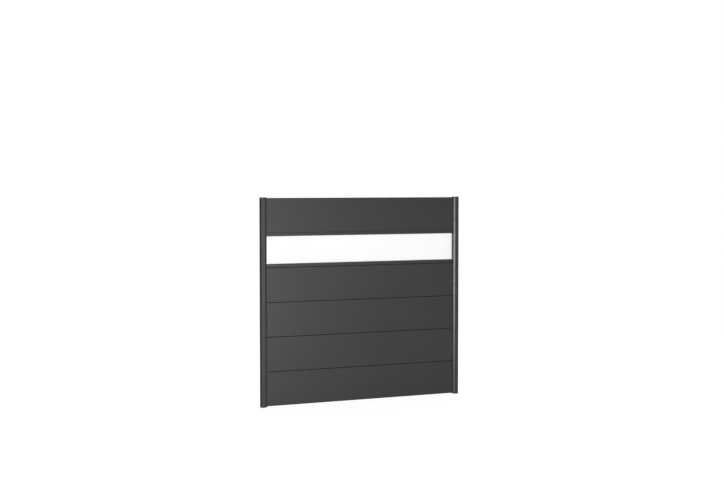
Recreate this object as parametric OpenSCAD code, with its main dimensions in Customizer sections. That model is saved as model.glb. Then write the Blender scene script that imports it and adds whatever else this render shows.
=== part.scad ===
// Metal privacy screen: one bay of wide hollow aluminium boards with a strip of
// satin glass below the top board, held between two slim clamp posts.
// The origin is the middle of the left post's foot. +X runs to the right post,
// the front of the screen looks along -Y and +Z is up.

/* [Bay] */
// Clear width between the clamp strips of the two posts
clear_w = 1810; // [900:10:2400]
// Height of one row of boards; the screen is six rows high
row_h = 300; // [240:5:340]
// Height of the lowest board above the foot of the posts
ground_gap = 7.5; // [5:0.5:60]

/* [Boards] */
// Thickness of a board from front face to rear face
board_t = 20; // [18:1:22]
// Thickness of the board's drawn aluminium walls
board_wall = 1.5; // [1.2:0.1:1.8]
// Open shadow gap between two boards
shadow_gap = 5; // [2:0.5:8]
// Thickness of the tongue along a board's upper edge
tongue_t = 7; // [6:0.5:8]
// Depth of the groove along a board's lower edge
groove_depth = 10; // [8:1:12]
// Number of webs that part a board's hollow inside
web_count = 3; // [1:1:5]

/* [Glass strip] */
// Thickness of the satin glass
glass_t = 8; // [6:1:8]
// Height of the rail below the glass
lower_rail_h = 30; // [28:0.5:40]
// Height of the rail above the glass
upper_rail_h = 28; // [26:0.5:40]
// Depth of the slot that holds the glass
glass_slot_depth = 12; // [10:1:14]
// Fine seam between the upper glass rail and the top board
seam_gap = 2; // [1:0.5:3]

/* [Posts] */
// Width of the post's hollow core
core_w = 34; // [30:1:60]
// Depth of the post from front to rear
post_d = 48; // [46:1:70]
// Wall thickness of the core
core_wall = 2.5; // [2:0.1:3]
// Reach of a clamp strip from the core towards the boards
strip_w = 16; // [14:1:26]
// Fall of a clamp strip's face from the core to its inner edge
strip_drop = 4.5; // [2:0.5:5]
// Wall thickness of a clamp strip
strip_wall = 1.6; // [1.2:0.1:1.8]
// Height by which the posts pass the top of the boards
post_over = 5; // [4:1:30]
// Thickness of the post cap
cap_t = 2; // [1.5:0.5:3]
// Thickness of the plate that closes the post's foot
foot_t = 4; // [3:1:6]

/* [Fit] */
// Thickness of the rubber seal between board and clamp strip
seal_t = 2.5; // [2:0.5:3]
// Width of that seal
seal_w = 6; // [4:1:8]
// Room for the boards to grow in the post, at each end
end_room = 3; // [2:1:5]
// Clearance at each side of a tongue in its groove
tongue_clear = 0.4; // [0.2:0.1:0.5]
// Clearance of a plug all round inside the core
plug_clear = 0.3; // [0.2:0.1:0.5]
// Clearance left at the upper and the side edges of the glass
glass_clear = 1; // [0.5:0.5:2]

/* [Hidden] */

coat = [0.30, 0.30, 0.30];
glass_colour = [0.96, 0.97, 0.97, 0.75];
rubber_colour = [0.08, 0.08, 0.08];
block_colour = [0.15, 0.15, 0.15];

// Places along X
post_pitch = clear_w + 2 * strip_w + core_w;
core_face = core_w / 2;
strip_edge = core_face + strip_w;
board_x0 = core_face + end_room;
board_len = post_pitch - 2 * board_x0;

// Places across Y
board_y = board_t / 2;
seal_y = board_y + seal_t;
post_y = post_d / 2;
strip_y = post_y - strip_drop;

// Heights
rows = 6;
glass_row = 4;
row_z0 = ground_gap - shadow_gap / 2;
panel_z1 = row_z0 + rows * row_h;
post_h = panel_z1 + post_over;
face_h = row_h - shadow_gap;
glass_row_z = row_z0 + glass_row * row_h;
lower_rail_z = glass_row_z + shadow_gap / 2;
upper_rail_top = glass_row_z + row_h - seam_gap / 2;
upper_rail_z = upper_rail_top - upper_rail_h;
lower_rail_top = lower_rail_z + lower_rail_h;
top_board_z = upper_rail_top + seam_gap;
cover_t = 2;
top_face_h = panel_z1 - cover_t - top_board_z;

// Small shapes that repeat
edge_cut = 0.6;
post_edge = 0.8;
groove_w = tongue_t + 2 * tongue_clear;
gasket_t = 2;
glass_slot_w = glass_t + 2 * gasket_t;
gasket_grip = glass_slot_depth - 2;
gasket_lip = 0.5;
bar_base = 3;
end_grip = strip_w - end_room - bar_base - glass_clear;
seal_cut = 0.6;
strip_lift = 2;
plug_depth = 14;
plug_wall = 2;
support_lift = 0.5;
support_reach = strip_w - 2;
support_side_room = 1;

// A profile drawn in the (Y, Z) plane and pulled along X
module along_x(x0, len) {
    translate([x0, 0, 0])
        rotate([90, 0, 90])
            linear_extrude(len)
                children();
}

// A profile drawn in the (X, Y) plane and pulled up from z0 to z1
module upright(z0, z1) {
    translate([0, 0, z0])
        linear_extrude(z1 - z0)
            children();
}

// What is made for the left post, turned about to serve the right one
module at_right() {
    translate([post_pitch, 0, 0])
        mirror([1, 0, 0])
            children();
}

// A rectangle about the origin with its corners cut
module cut_rectangle(w, h, cut) {
    polygon([
        [-w / 2 + cut, -h / 2], [w / 2 - cut, -h / 2], [w / 2, -h / 2 + cut], [w / 2, h / 2 - cut],
        [w / 2 - cut, h / 2], [-w / 2 + cut, h / 2], [-w / 2, h / 2 - cut], [-w / 2, -h / 2 + cut]
    ]);
}

// Outline of a face strip with a groove below it and, where tongue_h is over 0,
// a tongue above it
module grooved_outline(h, tongue_h) {
    difference() {
        union() {
            translate([0, h / 2])
                cut_rectangle(board_t, h, edge_cut);
            if (tongue_h > 0)
                translate([-tongue_t / 2, h - board_wall])
                    square([tongue_t, tongue_h + board_wall]);
        }
        translate([-groove_w / 2, -1])
            square([groove_w, groove_depth + 1]);
    }
}

// The chambers of a drawn board: a row of them between the webs, one at each
// side of the groove and one in the tongue
module board_chambers(h, tongue_h) {
    inner_w = board_t - 2 * board_wall;
    low = groove_depth + board_wall;
    span = (h - board_wall - low - web_count * board_wall) / (web_count + 1);
    for (i = [0 : web_count])
        translate([-inner_w / 2, low + i * (span + board_wall)])
            square([inner_w, span]);
    groove_side_chambers();
    if (tongue_h > 0)
        tongue_chamber(h, tongue_h);
}

// The narrow chamber at each side of a groove
module groove_side_chambers() {
    cheek_w = board_t / 2 - groove_w / 2 - 2 * board_wall;
    for (side = [-1, 1])
        translate([side * (groove_w / 2 + board_wall + cheek_w / 2) - cheek_w / 2, board_wall])
            square([cheek_w, groove_depth - board_wall]);
}

// The chamber inside a tongue that stands tongue_h above a face of height h
module tongue_chamber(h, tongue_h) {
    translate([-tongue_t / 2 + board_wall, h])
        square([tongue_t - 2 * board_wall, tongue_h - board_wall]);
}

// The chamber across a rail between the heights z0 and z1 of its profile
module rail_chamber(z0, z1) {
    translate([-board_t / 2 + board_wall, z0 + board_wall])
        square([board_t - 2 * board_wall, z1 - z0 - 2 * board_wall]);
}

// One drawn board with its lower face edge at height z
module board(z, h, tongue_h) {
    color(coat)
        along_x(board_x0, board_len)
            translate([0, z])
                difference() {
                    grooved_outline(h, tongue_h);
                    board_chambers(h, tongue_h);
                }
}

// Board number n, counted up from 1 at the foot
module numbered_board(n) {
    board(ground_gap + (n - 1) * row_h, face_h, shadow_gap + groove_depth);
}

module top_board() {
    board(top_board_z, top_face_h, 0);
}

// Hollow strip that fills the groove of the lowest board, flush with its edge
module bottom_closer() {
    color(coat)
        along_x(board_x0, board_len)
            translate([0, ground_gap + groove_depth / 2])
                difference() {
                    square([tongue_t, groove_depth], center = true);
                    square([tongue_t - 2 * board_wall, groove_depth - 2 * board_wall], center = true);
                }
}

// Flat strip that closes the upper edge of the top board
module top_cover() {
    color(coat)
        along_x(board_x0, board_len)
            translate([0, panel_z1 - cover_t / 2])
                cut_rectangle(board_t, cover_t, cover_t / 4);
}

// Rail below the glass: groove below for the board's tongue, slot above
module lower_glass_rail() {
    color(coat)
        along_x(board_x0, board_len)
            translate([0, lower_rail_z])
                difference() {
                    grooved_outline(lower_rail_h, 0);
                    groove_side_chambers();
                    rail_chamber(groove_depth, lower_rail_h - glass_slot_depth);
                    translate([-glass_slot_w / 2, lower_rail_h - glass_slot_depth])
                        square([glass_slot_w, glass_slot_depth + 1]);
                }
}

// Rail above the glass: slot below for the glass, tongue above for the top board
module upper_glass_rail() {
    tongue_h = seam_gap + groove_depth;
    color(coat)
        along_x(board_x0, board_len)
            translate([0, upper_rail_z])
                difference() {
                    union() {
                        translate([0, upper_rail_h / 2])
                            cut_rectangle(board_t, upper_rail_h, edge_cut);
                        translate([-tongue_t / 2, upper_rail_h - board_wall])
                            square([tongue_t, board_wall + tongue_h]);
                    }
                    tongue_chamber(upper_rail_h, tongue_h);
                    rail_chamber(glass_slot_depth, upper_rail_h);
                    translate([-glass_slot_w / 2, -1])
                        square([glass_slot_w, glass_slot_depth + 1]);
                }
}

// Upright channel that holds one end of the glass, inside the post's slot
module left_glass_bar() {
    bar_w = strip_edge - board_x0;
    color(coat)
        upright(lower_rail_top, upper_rail_z)
            difference() {
                translate([board_x0, -board_t / 2])
                    square([bar_w, board_t]);
                translate([board_x0 + bar_base, -glass_slot_w / 2])
                    square([bar_w, glass_slot_w]);
            }
}

module right_glass_bar() {
    at_right() left_glass_bar();
}

module glass_pane() {
    x0 = board_x0 + bar_base + glass_clear;
    z0 = lower_rail_top - glass_slot_depth;
    z1 = upper_rail_z + glass_slot_depth - glass_clear;
    color(glass_colour)
        translate([x0, -glass_t / 2, z0])
            cube([post_pitch - 2 * x0, glass_t, z1 - z0]);
}

// The two gasket strips of one edge, in front of the glass and behind it
module both_sides() {
    for (side = [-1, 1])
        translate([0, side * (glass_t + gasket_t) / 2 - gasket_t / 2, 0])
            children();
}

module lower_glass_gasket() {
    x0 = strip_edge - end_grip;
    color(rubber_colour)
        both_sides()
            translate([x0, 0, lower_rail_top - gasket_grip])
                cube([post_pitch - 2 * x0, gasket_t, gasket_grip + gasket_lip]);
}

module upper_glass_gasket() {
    x0 = strip_edge - end_grip;
    color(rubber_colour)
        both_sides()
            translate([x0, 0, upper_rail_z - gasket_lip])
                cube([post_pitch - 2 * x0, gasket_t, gasket_grip + gasket_lip]);
}

module left_glass_gasket() {
    z0 = lower_rail_top + gasket_lip;
    z1 = upper_rail_z - gasket_lip;
    color(rubber_colour)
        both_sides()
            translate([strip_edge - end_grip, 0, z0])
                cube([end_grip + gasket_lip, gasket_t, z1 - z0]);
}

module right_glass_gasket() {
    at_right() left_glass_gasket();
}

// Hollow core of a post, standing on its foot plate
module left_post() {
    color(coat)
        upright(foot_t, post_h - cap_t)
            difference() {
                cut_rectangle(core_w, post_d, post_edge);
                square([core_w - 2 * core_wall, post_d - 2 * core_wall], center = true);
            }
}

// Hollow plug that centres a plate inside the core, from z0 to z1
module core_plug(z0, z1) {
    w = core_w - 2 * (core_wall + plug_clear);
    d = post_d - 2 * (core_wall + plug_clear);
    upright(z0, z1)
        difference() {
            square([w, d], center = true);
            square([w - 2 * plug_wall, d - 2 * plug_wall], center = true);
        }
}

// Plate that closes the foot and stands on the ground, with its plug
module left_foot_plate() {
    color(coat) {
        upright(0, foot_t)
            cut_rectangle(core_w, post_d, post_edge);
        core_plug(foot_t - 0.01, foot_t + plug_depth);
    }
}

// Outline of the whole post seen from above: the core and both clamp strips
module post_outline() {
    polygon([
        [-core_face + post_edge, -post_y], [core_face, -post_y], [strip_edge, -strip_y],
        [strip_edge, strip_y], [core_face, post_y], [-core_face + post_edge, post_y],
        [-core_face, post_y - post_edge], [-core_face, -post_y + post_edge]
    ]);
}

// Cap over the core and the clamp strips, with its plug in the core
module left_post_cap() {
    color(coat) {
        upright(post_h - cap_t, post_h)
            post_outline();
        core_plug(post_h - cap_t - plug_depth, post_h - cap_t + 0.01);
    }
}

// Block on the post's inner face that carries the lowest board
module left_board_support() {
    d = board_t - 2 * support_side_room;
    color(block_colour)
        translate([core_face, -d / 2, support_lift])
            cube([support_reach, d, ground_gap - support_lift]);
}

// Front clamp strip: a hollow bar over the seal, whose face falls from the
// front face of the core to its inner edge
module left_front_clamp() {
    face_wall = strip_wall * norm([strip_w, strip_drop]) / strip_w;
    fall_at_wall = strip_drop * strip_wall / strip_w;
    color(coat)
        upright(strip_lift, post_h - cap_t)
            difference() {
                polygon([
                    [core_face, -post_y], [core_face, -seal_y],
                    [strip_edge, -seal_y], [strip_edge, -strip_y]
                ]);
                polygon([
                    [core_face + strip_wall, -post_y + fall_at_wall + face_wall],
                    [core_face + strip_wall, -seal_y - strip_wall],
                    [strip_edge - strip_wall, -seal_y - strip_wall],
                    [strip_edge - strip_wall, -strip_y - fall_at_wall + face_wall]
                ]);
            }
}

module left_rear_clamp() {
    mirror([0, 1, 0]) left_front_clamp();
}

// Rubber seal between the clamp strip and the boards, with its outer corner cut
module left_front_seal() {
    color(rubber_colour)
        upright(ground_gap, panel_z1)
            polygon([
                [strip_edge - seal_w, -seal_y], [strip_edge, -seal_y],
                [strip_edge, -board_y - seal_cut], [strip_edge - seal_cut, -board_y],
                [strip_edge - seal_w, -board_y]
            ]);
}

module left_rear_seal() {
    mirror([0, 1, 0]) left_front_seal();
}

module right_post() {
    at_right() left_post();
}

module right_foot_plate() {
    at_right() left_foot_plate();
}

module right_post_cap() {
    at_right() left_post_cap();
}

module right_board_support() {
    at_right() left_board_support();
}

module right_front_clamp() {
    at_right() left_front_clamp();
}

module right_rear_clamp() {
    at_right() left_rear_clamp();
}

module right_front_seal() {
    at_right() left_front_seal();
}

module right_rear_seal() {
    at_right() left_rear_seal();
}

module board_1() {
    numbered_board(1);
}

module board_2() {
    numbered_board(2);
}

module board_3() {
    numbered_board(3);
}

module board_4() {
    numbered_board(4);
}

left_post();
left_foot_plate();
left_post_cap();
left_board_support();
left_front_clamp();
left_rear_clamp();
left_front_seal();
left_rear_seal();
right_post();
right_foot_plate();
right_post_cap();
right_board_support();
right_front_clamp();
right_rear_clamp();
right_front_seal();
right_rear_seal();
bottom_closer();
board_1();
board_2();
board_3();
board_4();
lower_glass_rail();
left_glass_bar();
right_glass_bar();
upper_glass_rail();
glass_pane();
lower_glass_gasket();
upper_glass_gasket();
left_glass_gasket();
right_glass_gasket();
top_board();
top_cover();
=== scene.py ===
"""Metal privacy screen: one bay of wide hollow aluminium boards and a strip of
satin glass, clamped between two slim posts. Metres; the origin is the foot of
the left post, +X runs to the right post, the front looks along -Y and +Z is up."""

import math

import bmesh
import bpy
from mathutils import Matrix, Vector


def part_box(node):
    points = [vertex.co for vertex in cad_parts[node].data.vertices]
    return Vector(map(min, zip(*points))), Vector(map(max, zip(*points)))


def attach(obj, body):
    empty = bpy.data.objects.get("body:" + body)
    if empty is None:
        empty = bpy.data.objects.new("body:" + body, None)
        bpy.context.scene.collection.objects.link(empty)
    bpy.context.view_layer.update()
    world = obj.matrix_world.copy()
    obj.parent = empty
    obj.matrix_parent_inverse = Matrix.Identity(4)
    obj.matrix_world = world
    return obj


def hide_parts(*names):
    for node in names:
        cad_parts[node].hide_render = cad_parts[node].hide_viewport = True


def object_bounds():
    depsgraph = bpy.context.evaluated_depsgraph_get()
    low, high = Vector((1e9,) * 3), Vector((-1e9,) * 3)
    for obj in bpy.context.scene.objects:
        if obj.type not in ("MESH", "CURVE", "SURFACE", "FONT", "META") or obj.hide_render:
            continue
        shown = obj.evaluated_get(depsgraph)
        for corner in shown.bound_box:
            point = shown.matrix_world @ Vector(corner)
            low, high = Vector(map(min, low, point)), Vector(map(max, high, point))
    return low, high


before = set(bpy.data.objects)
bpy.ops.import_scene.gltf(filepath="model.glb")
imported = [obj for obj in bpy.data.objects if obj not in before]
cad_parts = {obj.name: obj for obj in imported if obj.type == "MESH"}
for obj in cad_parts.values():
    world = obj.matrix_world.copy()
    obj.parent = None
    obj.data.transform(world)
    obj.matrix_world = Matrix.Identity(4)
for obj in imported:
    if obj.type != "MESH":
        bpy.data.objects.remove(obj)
cad_low, cad_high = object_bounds()

# ---------------------------------------------------------------------------
# Posts. Each core is a drawn aluminium box, cut to length and powder-coated in
# a fine matt anthracite before the bay is put together.
# ---------------------------------------------------------------------------
SIDES = ("left", "right")
COAT_COLOUR = (0.0465, 0.0465, 0.0465, 1.0)
COAT_PALER = (0.0495, 0.0495, 0.0495, 1.0)
COAT_ROUGHNESS = 0.42
# Clouds that spraying leaves: how many a metre, where they start and end in the
# noise, and how much duller they are
CLOUDS_PER_M = 2.3
CLOUD_SPAN = (0.3, 0.7)
CLOUD_DULLNESS = 0.02
# The hammered grain: how fine, how high in metres and how strong it is
COAT_GRAIN_PER_M = 1100.0
COAT_GRAIN_HEIGHT = 0.00005
COAT_GRAIN_STRENGTH = 0.35
# Painted shade for the coat down in a joint: its dark colour and its roughness, and where it
# starts to fade as a share of the way out
PAINTED_JOINT_SHADE = (0.006, 0.006, 0.006, 1.0)
JOINT_ROUGHNESS = 0.85
PAINTED_SHADE_FADES_FROM = 0.8


class Wire:
    """A socket in a material. Sums on it add Math nodes, make() adds any node."""

    def __init__(self, tree, socket=None):
        self.tree = tree
        self.socket = socket

    def make(self, kind, settings=None, sockets=None, output=0):
        """Adds a node: its settings first, then the values or wires of its sockets."""
        node = self.tree.nodes.new(kind)
        for name, value in (settings or {}).items():
            setattr(node, name, value)
        for key, value in (sockets or {}).items():
            if isinstance(value, Wire):
                self.tree.links.new(value.socket, node.inputs[key])
            else:
                node.inputs[key].default_value = value
        return Wire(self.tree, node.outputs[output] if node.outputs else None)

    def maths(self, operation, *values):
        """Adds a Math node with these values or wires."""
        return self.make("ShaderNodeMath", {"operation": operation}, dict(enumerate(values)))

    def __add__(self, other):
        return self.maths("ADD", self, other)

    def __sub__(self, other):
        return self.maths("SUBTRACT", self, other)

    def __rsub__(self, other):
        return self.maths("SUBTRACT", other, self)

    def __mul__(self, other):
        return self.maths("MULTIPLY", self, other)

    __radd__ = __add__
    __rmul__ = __mul__

    def between(self, low, high):
        """0 at low, 1 at high, smooth between them."""
        return self.make(
            "ShaderNodeMapRange",
            {"interpolation_type": "SMOOTHSTEP"},
            {"Value": self, "From Min": low, "From Max": high},
        )

    def blend(self, first, second):
        """The first colour where this wire is 0 and the second where it is 1."""
        return self.make(
            "ShaderNodeMix", {"data_type": "RGBA"}, {0: self, 6: first, 7: second}, output=2
        )


def new_material(name):
    """An empty material and the wire that its nodes start from."""
    material = bpy.data.materials.new(name)
    material.use_nodes = True
    material.node_tree.nodes.clear()
    return material, Wire(material.node_tree)


def surface_noise(start, per_metre, detail):
    """Noise of so many grains a metre, fixed to the piece."""
    place = start.make("ShaderNodeTexCoord", output="Object")
    return start.make(
        "ShaderNodeTexNoise", {}, {"Vector": place, "Scale": per_metre, "Detail": detail}
    )


def bumped(grain, strength, height):
    """The surface's slope where this noise stands height metres proud of it."""
    sockets = {"Strength": strength, "Distance": height, "Height": grain}
    return grain.make("ShaderNodeBump", {}, sockets)


def close_material(material, start, sockets):
    """Ends the material in one Principled shader with these values and wires."""
    shader = start.make("ShaderNodeBsdfPrincipled", {}, sockets)
    start.make("ShaderNodeOutputMaterial", {}, {"Surface": shader})
    return material


def powder_coat(name, roughness, joint=None):
    """Fine matt powder coat: a hammered grain too small to see from afar, and the
    faint clouds that spraying leaves in its shade and sheen. Within joint metres
    of the middle plane, down in a joint, its colour is painted dark as shade and it is dull."""
    material, start = new_material(name)
    clouds = surface_noise(start, CLOUDS_PER_M, detail=3.0).between(*CLOUD_SPAN)
    colour = clouds.blend(COAT_COLOUR, COAT_PALER)
    rough = clouds * CLOUD_DULLNESS + roughness
    if joint:
        # Painted shade: down in a joint the colour is darkened towards black and made duller, in
        # place of the shade that falls there
        place = start.make("ShaderNodeTexCoord", output="Object")
        across = start.make("ShaderNodeSeparateXYZ", {}, {0: place}, output="Y")
        outside_painted_shade = across.maths("ABSOLUTE", across).between(joint * PAINTED_SHADE_FADES_FROM, joint)
        colour = outside_painted_shade.blend(PAINTED_JOINT_SHADE, colour)
        rough = rough + (1.0 - outside_painted_shade) * (JOINT_ROUGHNESS - roughness)
    grain = surface_noise(start, COAT_GRAIN_PER_M, detail=2.0)
    slope = bumped(grain, COAT_GRAIN_STRENGTH, COAT_GRAIN_HEIGHT)
    return close_material(
        material, start, {"Base Color": colour, "Roughness": rough, "Normal": slope}
    )


def dress(node, material):
    """Puts the finish on a piece whose shape the frame already has."""
    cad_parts[node].data.materials[0] = material


coat = powder_coat("anthracite_powder_coat", COAT_ROUGHNESS)
for side in SIDES:
    dress(f"{side}_post", coat)

# ---------------------------------------------------------------------------
# Foot plates. A coated aluminium plate closes the lower end of each core and
# stands on the ground. Its plug is pushed into the core, and its eased edges
# leave a hairline seam.
# ---------------------------------------------------------------------------
FOOT_T = 0.004
PLATE_EDGE = 0.0005
PLUG_FROM_FACE = 0.0028


def block_between(mesh, low, high):
    """A box from one corner to the other; returns its new vertices."""
    size = Vector(high) - Vector(low)
    middle = (Vector(high) + Vector(low)) / 2
    place = Matrix.Translation(middle) @ Matrix.Diagonal((*size, 1.0))
    return bmesh.ops.create_cube(mesh, size=1.0, matrix=place)["verts"]


def round_edges(mesh, edges, radius, segments=3):
    """Rounds these edges."""
    bmesh.ops.bevel(
        mesh, geom=edges, offset=radius, offset_type="OFFSET", segments=segments,
        profile=0.5, affect="EDGES", clamp_overlap=True, material=-1,
    )


def finish_piece(name, mesh, material, slot, *nodes):
    """Makes the mesh a piece of the bay, in place of the nodes that it stands for."""
    data = bpy.data.meshes.new(name)
    mesh.to_mesh(data)
    mesh.free()
    data.materials.append(material)
    piece = bpy.data.objects.new(name, data)
    bpy.context.scene.collection.objects.link(piece)
    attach(piece, "root")
    if nodes:
        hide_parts(*nodes)
    return piece


def prism(mesh, outline, low_z, high_z):
    """Draws an outline of (x, y) corners up from low_z to high_z; returns its edges."""
    corners = [mesh.verts.new((x, y, low_z)) for x, y in outline]
    base = bmesh.ops.contextual_create(mesh, geom=corners)["faces"]
    drawn = bmesh.ops.extrude_face_region(mesh, geom=base)["geom"]
    top = [g for g in drawn if isinstance(g, bmesh.types.BMVert)]
    bmesh.ops.translate(mesh, vec=(0.0, 0.0, high_z - low_z), verts=top)
    bmesh.ops.recalc_face_normals(mesh, faces=mesh.faces[:])
    return mesh.edges[:]


def plugged_plate(name, side, outline, plate_z, plug_z, node):
    """A plate of that outline with eased edges, and its plug inside the core."""
    core_low, core_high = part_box(f"{side}_post")
    inset = Vector((PLUG_FROM_FACE, PLUG_FROM_FACE))
    plug_low, plug_high = core_low.xy + inset, core_high.xy - inset
    plate = bmesh.new()
    round_edges(plate, prism(plate, outline, *plate_z), PLATE_EDGE)
    block_between(plate, (*plug_low, plug_z[0]), (*plug_high, plug_z[1]))
    finish_piece(name, plate, coat, "coat", node)


for side in SIDES:
    node = f"{side}_foot_plate"
    low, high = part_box(node)
    outline = [(low.x, low.y), (high.x, low.y), (high.x, high.y), (low.x, high.y)]
    seat = low.z + FOOT_T
    plugged_plate(f"{side}_foot", side, outline, (low.z, seat), (seat, high.z), node)

# ---------------------------------------------------------------------------
# Board supports. A small moulded block of black plastic on the inner face of
# each core carries the lowest board clear of the ground.
# ---------------------------------------------------------------------------
BLOCK_COLOUR = (0.020, 0.020, 0.020, 1.0)
BLOCK_ROUGHNESS = (0.45, 0.60)
BLOCK_GRAIN_PER_M = 1500.0
BLOCK_GRAIN_HEIGHT = 0.00004
BLOCK_GRAIN_STRENGTH = 0.4
BLOCK_EDGE = 0.0008


def moulded_plastic():
    """Black plastic with the spark-eroded grain of its mould."""
    material, start = new_material("support_plastic")
    grain = surface_noise(start, BLOCK_GRAIN_PER_M, detail=3.0)
    smooth, dull = BLOCK_ROUGHNESS
    rough = grain * (dull - smooth) + smooth
    slope = bumped(grain, BLOCK_GRAIN_STRENGTH, BLOCK_GRAIN_HEIGHT)
    return close_material(
        material, start, {"Base Color": BLOCK_COLOUR, "Roughness": rough, "Normal": slope}
    )


plastic = moulded_plastic()
for side in SIDES:
    node = f"{side}_board_support"
    block = bmesh.new()
    block_between(block, *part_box(node))
    round_edges(block, block.edges[:], BLOCK_EDGE)
    finish_piece(f"{side}_support_block", block, plastic, "support_block", node)

# ---------------------------------------------------------------------------
# Clamp strips. Drawn aluminium bars that run the whole height in front of the
# boards and behind them. Their faces fall gently from the post's face to an edge
# beside the boards, all edges are eased, and their coat flows out a bit smoother.
# ---------------------------------------------------------------------------
STRIP_DROP = 0.0045
STRIP_EDGE = 0.0005
STRIP_ROUGHNESS = 0.31

strip_coat = powder_coat("smooth_powder_coat", STRIP_ROUGHNESS)
for side in SIDES:
    for face in ("front", "rear"):
        node = f"{side}_{face}_clamp"
        low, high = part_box(node)
        core_x, inner_x = (low.x, high.x) if side == "left" else (high.x, low.x)
        seal_y, post_y = (high.y, low.y) if face == "front" else (low.y, high.y)
        drop = math.copysign(STRIP_DROP, -post_y)
        strip = bmesh.new()
        outline = [(core_x, post_y), (core_x, seal_y), (inner_x, seal_y), (inner_x, post_y + drop)]
        round_edges(strip, prism(strip, outline, low.z, high.z), STRIP_EDGE)
        finish_piece(f"{side}_{face}_strip", strip, strip_coat, "coat", node)

# ---------------------------------------------------------------------------
# Board screws. One coated self-drilling screw a board goes through each rear
# clamp strip, square to its sloping face: a low domed head with a socket.
# ---------------------------------------------------------------------------
SCREW_HEAD_R = 0.0036
SCREW_HEAD_H = 0.0016
SCREW_SOCKET_R = 0.0015
SCREW_SOCKET_DEPTH = 0.0009
SCREW_ROUND = 24
# Six ribs stand in to this share of the socket's radius, and its floor narrows to
# this share of its mouth
SCREW_SOCKET_RIBS = 0.82
SCREW_SOCKET_FLOOR = 0.96
SCREW_SMOOTH_BELOW = math.radians(40.0)
BOARDS = ("board_1", "board_2", "board_3", "board_4", "top_board")
# Radius and height of each ring up the dome, as shares of the head's own
DOME_RINGS = ((1.0, 0.16), (0.985, 0.42), (0.90, 0.72), (0.74, 0.92), (0.55, 1.0))


def push_out(mesh, face, spread, rise):
    """Draws a face out by rise along Z, scaled about its middle by spread; returns it."""
    made = bmesh.ops.extrude_face_region(mesh, geom=[face])["geom"]
    mesh.faces.remove(face)
    top = next(g for g in made if isinstance(g, bmesh.types.BMFace))
    about = Matrix.Translation(-top.calc_center_median())
    bmesh.ops.scale(mesh, vec=(spread, spread, 1.0), verts=top.verts[:], space=about)
    bmesh.ops.translate(mesh, vec=(0.0, 0.0, rise), verts=top.verts[:])
    return top


def screw_head(mesh, place):
    """Adds one screw head whose base is on the XY plane, then moves it to place."""
    before = set(mesh.verts)
    ring = bmesh.ops.create_circle(mesh, cap_ends=True, segments=SCREW_ROUND, radius=SCREW_HEAD_R)
    face = ring["verts"][0].link_faces[0]
    radius, height = 1.0, 0.0
    for next_radius, next_height in DOME_RINGS:
        face = push_out(mesh, face, next_radius / radius, (next_height - height) * SCREW_HEAD_H)
        radius, height = next_radius, next_height
    face = push_out(mesh, face, SCREW_SOCKET_R / (radius * SCREW_HEAD_R), 0.0)
    middle = face.calc_center_median()
    for number, corner in enumerate(face.verts):
        if number % 4 in (0, 1):
            corner.co = middle + (corner.co - middle) * SCREW_SOCKET_RIBS
    push_out(mesh, face, SCREW_SOCKET_FLOOR, -SCREW_SOCKET_DEPTH)
    made = [v for v in mesh.verts if v not in before]
    bmesh.ops.transform(mesh, matrix=place, verts=made)


for side in SIDES:
    low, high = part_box(f"{side}_rear_clamp")
    outward = 1.0 if side == "left" else -1.0
    slope = math.atan2(STRIP_DROP, high.x - low.x)
    turn = Matrix.Rotation(-outward * slope, 4, "Z") @ Matrix.Rotation(-math.pi / 2, 4, "X")
    screws = bmesh.new()
    for board in BOARDS:
        board_low, board_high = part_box(board)
        spot = Vector((
            (low.x + high.x) / 2,
            high.y - STRIP_DROP / 2,
            (board_low.z + board_high.z) / 2,
        ))
        screw_head(screws, Matrix.Translation(spot) @ turn)
    bmesh.ops.recalc_face_normals(screws, faces=screws.faces[:])
    piece = finish_piece(f"{side}_board_screws", screws, coat, "coat")
    piece.data.shade_smooth()
    piece.data.set_sharp_from_angle(angle=SCREW_SMOOTH_BELOW)

# ---------------------------------------------------------------------------
# Post seals. A strip of black rubber is pressed between each clamp strip and the
# boards. Its outer edge is a rounded nose that shows as a fine dark line.
# ---------------------------------------------------------------------------
RUBBER_COLOUR = (0.013, 0.013, 0.013, 1.0)
RUBBER_PALER = (0.020, 0.020, 0.020, 1.0)
RUBBER_ROUGHNESS = (0.62, 0.72)
BLOOM_PER_M = 90.0
RUBBER_GRAIN_PER_M = 1800.0
RUBBER_GRAIN_HEIGHT = 0.00003
RUBBER_GRAIN_STRENGTH = 0.3
SEAL_NOSE_R = 0.0009
# How near an edge's end, in metres, and its direction have to be to count
SAME_PLACE = 1e-6
SAME_WAY = 0.99


def black_rubber():
    """Extruded rubber: dull, with a trace of bloom in its shade."""
    material, start = new_material("black_rubber")
    bloom = surface_noise(start, BLOOM_PER_M, detail=4.0)
    colour = bloom.blend(RUBBER_COLOUR, RUBBER_PALER)
    clean, bloomed = RUBBER_ROUGHNESS
    rough = bloom * (bloomed - clean) + clean
    grain = surface_noise(start, RUBBER_GRAIN_PER_M, detail=2.0)
    slope = bumped(grain, RUBBER_GRAIN_STRENGTH, RUBBER_GRAIN_HEIGHT)
    return close_material(
        material, start, {"Base Color": colour, "Roughness": rough, "Normal": slope}
    )


def edges_at(mesh, axis, place, along):
    """The edges that run along one axis and lie at a place on another."""
    def on_place(edge):
        return all(abs(v.co[axis] - place) < SAME_PLACE for v in edge.verts)

    def runs_along(edge):
        way = (edge.verts[1].co - edge.verts[0].co).normalized()
        return abs(way[along]) > SAME_WAY

    return [e for e in mesh.edges if on_place(e) and runs_along(e)]


rubber = black_rubber()
for side in SIDES:
    for face in ("front", "rear"):
        node = f"{side}_{face}_seal"
        low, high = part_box(node)
        strip = bmesh.new()
        block_between(strip, low, high)
        nose_x = high.x if side == "left" else low.x
        round_edges(strip, edges_at(strip, 0, nose_x, 2), SEAL_NOSE_R)
        finish_piece(f"{side}_{face}_seal_strip", strip, rubber, "rubber_seal", node)
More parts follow.
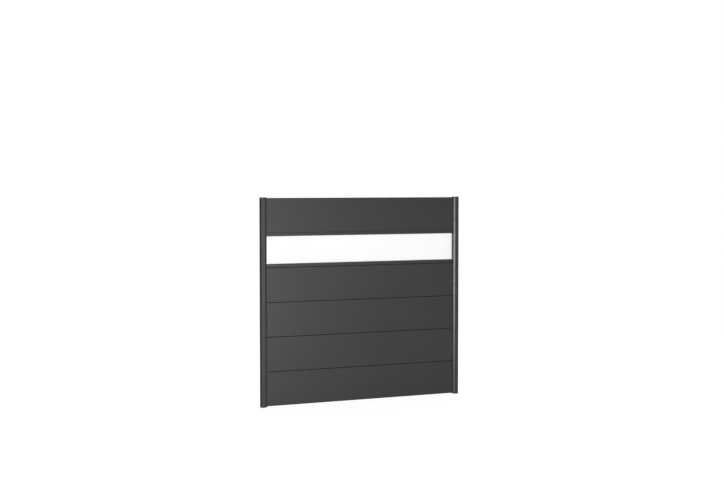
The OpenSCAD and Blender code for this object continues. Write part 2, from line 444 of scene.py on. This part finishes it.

# ---------------------------------------------------------------------------
# Boards. Drawn hollow aluminium, stacked from the foot up: a tongue along each
# upper edge stands in the groove of the next board and leaves an open shadow
# gap. A closing strip fills the lowest groove and a flat one the top edge.
# ---------------------------------------------------------------------------
# How far from the middle plane the coat carries the painted shade of a joint
PAINTED_JOINT_SHADE_HALF = 0.0088

dress("top_cover", coat)
board_coat = powder_coat("board_powder_coat_painted_joint_shade", COAT_ROUGHNESS, PAINTED_JOINT_SHADE_HALF)
for node in ("bottom_closer", *BOARDS):
    dress(node, board_coat)

# ---------------------------------------------------------------------------
# Glass rails and end bars. Coated aluminium channels that frame the glass: the
# lower rail sits on a board's tongue, the bars stand on it inside the posts and
# the upper rail lies on them and carries the top board.
# ---------------------------------------------------------------------------
# They take the board coat, whose colour is painted dark as shade near the middle plane
for node in ("lower_glass_rail", "left_glass_bar", "right_glass_bar", "upper_glass_rail"):
    dress(node, board_coat)

# ---------------------------------------------------------------------------
# Glass. One pane of toughened glass, 8 mm thick, etched to a white satin on its
# faces, with its edges ground to a small arris. It stands in the lower rail.
# ---------------------------------------------------------------------------
GLASS_COLOUR = (0.985, 0.985, 0.985, 1.0)
GLASS_IOR = 1.5
GLASS_ARRIS = 0.0008
# The etch: its least and greatest roughness, how broadly it varies, and its grain
ETCH_ROUGHNESS = (0.48, 0.54)
ETCH_PER_M = 7.0
ETCH_GRAIN_PER_M = 2200.0
ETCH_GRAIN_HEIGHT = 0.00002
ETCH_GRAIN_STRENGTH = 0.15


def satin_glass():
    """Acid-etched glass: it lets the light through and blurs what is behind it."""
    material, start = new_material("satin_glass")
    least, most = ETCH_ROUGHNESS
    rough = surface_noise(start, ETCH_PER_M, detail=3.0) * (most - least) + least
    grain = surface_noise(start, ETCH_GRAIN_PER_M, detail=2.0)
    sockets = {
        "Base Color": GLASS_COLOUR,
        "Roughness": rough,
        "IOR": GLASS_IOR,
        "Transmission Weight": 1.0,
        "Normal": bumped(grain, ETCH_GRAIN_STRENGTH, ETCH_GRAIN_HEIGHT),
    }
    return close_material(material, start, sockets)


pane = bmesh.new()
block_between(pane, *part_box("glass_pane"))
round_edges(pane, pane.edges[:], GLASS_ARRIS, segments=1)
finish_piece("satin_pane", pane, satin_glass(), "satin_glass", "glass_pane")

# ---------------------------------------------------------------------------
# Glass gaskets. Black rubber strips hold the pane in its channels, one in front
# and one behind along each edge. A rounded lip stands just proud of the metal.
# ---------------------------------------------------------------------------
GASKET_LIP_R = 0.0007
pane_low, pane_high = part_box("glass_pane")
# For each edge of the pane: the axis across the lip, and its outer end
GASKET_LIPS = {"lower": (2, 1), "upper": (2, 0), "left": (0, 1), "right": (0, 0)}
for edge, (across, outer_end) in GASKET_LIPS.items():
    node = f"{edge}_glass_gasket"
    low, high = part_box(node)
    lip = (low, high)[outer_end][across]
    strips = bmesh.new()
    block_between(strips, low, (high.x, pane_low.y, high.z))
    block_between(strips, (low.x, pane_high.y, low.z), high)
    round_edges(strips, edges_at(strips, across, lip, 2 - across), GASKET_LIP_R)
    finish_piece(f"{edge}_gasket_strips", strips, rubber, "rubber_seal", node)

# ---------------------------------------------------------------------------
# Post caps. A thin coated plate with eased edges over the core and both clamp
# strips; the plug under it holds it in the core.
# ---------------------------------------------------------------------------
CAP_T = 0.002

for side in SIDES:
    node = f"{side}_post_cap"
    low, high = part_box(node)
    core_low, core_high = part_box(f"{side}_post")
    strip_y = high.y - STRIP_DROP
    outer_x, inner_x, core_x = (
        (low.x, high.x, core_high.x) if side == "left" else (high.x, low.x, core_low.x)
    )
    outline = [
        (outer_x, low.y), (core_x, low.y), (inner_x, -strip_y),
        (inner_x, strip_y), (core_x, high.y), (outer_x, high.y),
    ]
    seat = high.z - CAP_T
    plugged_plate(f"{side}_cap", side, outline, (seat, high.z), (low.z, seat), node)

# ---------------------------------------------------------------------------
# Studio. A white floor that runs out to a white surround and keeps the screen's
# soft shadow, a room that is dim in front and brighter to the sides and behind, a
# softbox far out in front of the bay and one high up behind its right end.
# ---------------------------------------------------------------------------
WHITE = (1.0, 1.0, 1.0, 1.0)
FLOOR_HALF = 60.0
FLOOR_PAINT = (0.86, 0.86, 0.86, 1.0)
# The share of paint, which takes the shadow, near the screen; the distances over
# which it fades out; and the glow near the screen that makes up for the paint
FLOOR_SHADE = 0.25
FLOOR_SHADE_REACH = (2.5, 7.0)
FLOOR_GLOW = 1.26
# How brightly the room lights the screen from each way, and where one way turns
# into the next
ROOM_FRONT = 0.06
ROOM_REAR = 0.34
ROOM_SIDE = 0.5
REAR_BLEND = (-0.35, 0.35)
SIDE_BLEND = (0.5, 0.9)
# How brightly the surround and the floor show in a surface's sheen, where 1 is white
SHEEN_FRONT = 0.31
SHEEN_REAR = 0.18
MIDDLE = (cad_low + cad_high) / 2


def ray_kinds(start):
    """Two wires. The first is 1 where the backdrop shows as it is, to the camera and
    through the glass, and the second is 1 in the sheen of a surface."""
    camera = start.make("ShaderNodeLightPath", output="Is Camera Ray")
    through = start.make("ShaderNodeLightPath", output="Is Transmission Ray")
    gloss = start.make("ShaderNodeLightPath", output="Is Glossy Ray")
    return camera.maths("MAXIMUM", camera, through), gloss * (1.0 - through)


def white_floor():
    """Pale studio floor that reads as white and darkens only in the near shadow."""
    material, start = new_material("studio_floor")
    place = start.make("ShaderNodeTexCoord", output="Object")
    length = {"operation": "LENGTH"}
    away = start.make("ShaderNodeVectorMath", length, {0: place}, output="Value")
    far = away.between(*FLOOR_SHADE_REACH)
    behind = start.make("ShaderNodeSeparateXYZ", {}, {0: place}, output="Y").between(*REAR_BLEND)
    direct, sheen = ray_kinds(start)
    glow_share = direct * (far * FLOOR_SHADE + (1.0 - FLOOR_SHADE)) + sheen
    sheen_level = behind * (SHEEN_REAR - SHEEN_FRONT) + SHEEN_FRONT
    strength = sheen * (sheen_level - 1.0) + 1.0
    paint = start.make("ShaderNodeBsdfDiffuse", {}, {"Color": FLOOR_PAINT})
    near_glow = (FLOOR_GLOW, FLOOR_GLOW, FLOOR_GLOW, 1.0)
    colour = far.blend(near_glow, WHITE)
    glow = start.make("ShaderNodeEmission", {}, {"Color": colour, "Strength": strength})
    shader = start.make("ShaderNodeMixShader", {}, {0: glow_share, 1: paint, 2: glow})
    start.make("ShaderNodeOutputMaterial", {}, {"Surface": shader})
    return material


floor_mesh = bmesh.new()
bmesh.ops.create_grid(floor_mesh, x_segments=8, y_segments=8, size=FLOOR_HALF)
floor_data = bpy.data.meshes.new("studio_floor")
floor_mesh.to_mesh(floor_data)
floor_mesh.free()
floor_data.materials.append(white_floor())
floor = bpy.data.objects.new("studio_floor", floor_data)
floor.location = (MIDDLE.x, MIDDLE.y, cad_low.z)
bpy.context.scene.collection.objects.link(floor)

world = bpy.data.worlds.new("studio_surround")
bpy.context.scene.world = world
world.use_nodes = True
world.node_tree.nodes.clear()
room = Wire(world.node_tree)
heading = room.make("ShaderNodeTexCoord", output="Generated")
back = room.make("ShaderNodeSeparateXYZ", {}, {0: heading}, output="Y")
rearward = back.between(*REAR_BLEND)
right = room.make("ShaderNodeSeparateXYZ", {}, {0: heading}, output="X")
sideways = right.maths("ABSOLUTE", right).between(*SIDE_BLEND)
front_to_rear = rearward * (ROOM_REAR - ROOM_FRONT) + ROOM_FRONT
room_level = sideways * ROOM_SIDE + (1.0 - sideways) * front_to_rear
sheen_level = rearward * (SHEEN_REAR - SHEEN_FRONT) + SHEEN_FRONT
direct, sheen = ray_kinds(room)
level = direct + sheen * sheen_level + (1.0 - direct - sheen) * room_level
surround = room.make("ShaderNodeBackground", {}, {"Color": WHITE, "Strength": level})
room.make("ShaderNodeOutputWorld", {}, {"Surface": surround})


def softbox(name, place, aim, width, height, power):
    """A flat lamp of that size, turned to face the aim and not seen through the glass."""
    data = bpy.data.lights.new(name, "AREA")
    data.shape = "RECTANGLE"
    data.size = width
    data.size_y = height
    data.energy = power
    lamp = bpy.data.objects.new(name, data)
    lamp.location = place
    lamp.rotation_euler = (Vector(aim) - Vector(place)).to_track_quat("-Z", "Y").to_euler()
    lamp.visible_transmission = False
    bpy.context.scene.collection.objects.link(lamp)


softbox(
    "key_softbox", place=(0.8, -9.0, 0.78), aim=(0.94, 0.0, 1.0),
    width=1.6, height=1.55, power=292.0,
)
softbox(
    "rear_softbox", place=(3.0, 3.4, 4.8), aim=(0.94, 0.0, 0.9),
    width=2.6, height=2.2, power=165.0,
)

# ---------------------------------------------------------------------------
# Camera, left of the screen and a little above its top, turned right and tipped
# slightly down towards it.
# ---------------------------------------------------------------------------
CAMERA_PLACE = (-3.7487, -10.5140, 1.9254)
CAMERA_DOWN = math.radians(2.581)
CAMERA_RIGHT = math.radians(24.017)
CAMERA_LENS = 64.61
CAMERA_SENSOR = 36.0

camera_data = bpy.data.cameras.new("camera")
camera_data.sensor_width = CAMERA_SENSOR
camera_data.lens = CAMERA_LENS
camera_data.clip_start = 0.1
camera_data.clip_end = 300.0
camera_object = bpy.data.objects.new("camera", camera_data)
camera_object.location = CAMERA_PLACE
camera_object.rotation_euler = (math.pi / 2 - CAMERA_DOWN, 0.0, -CAMERA_RIGHT)
bpy.context.scene.collection.objects.link(camera_object)
bpy.context.scene.camera = camera_object
bpy.context.scene.view_settings.view_transform = "Standard"
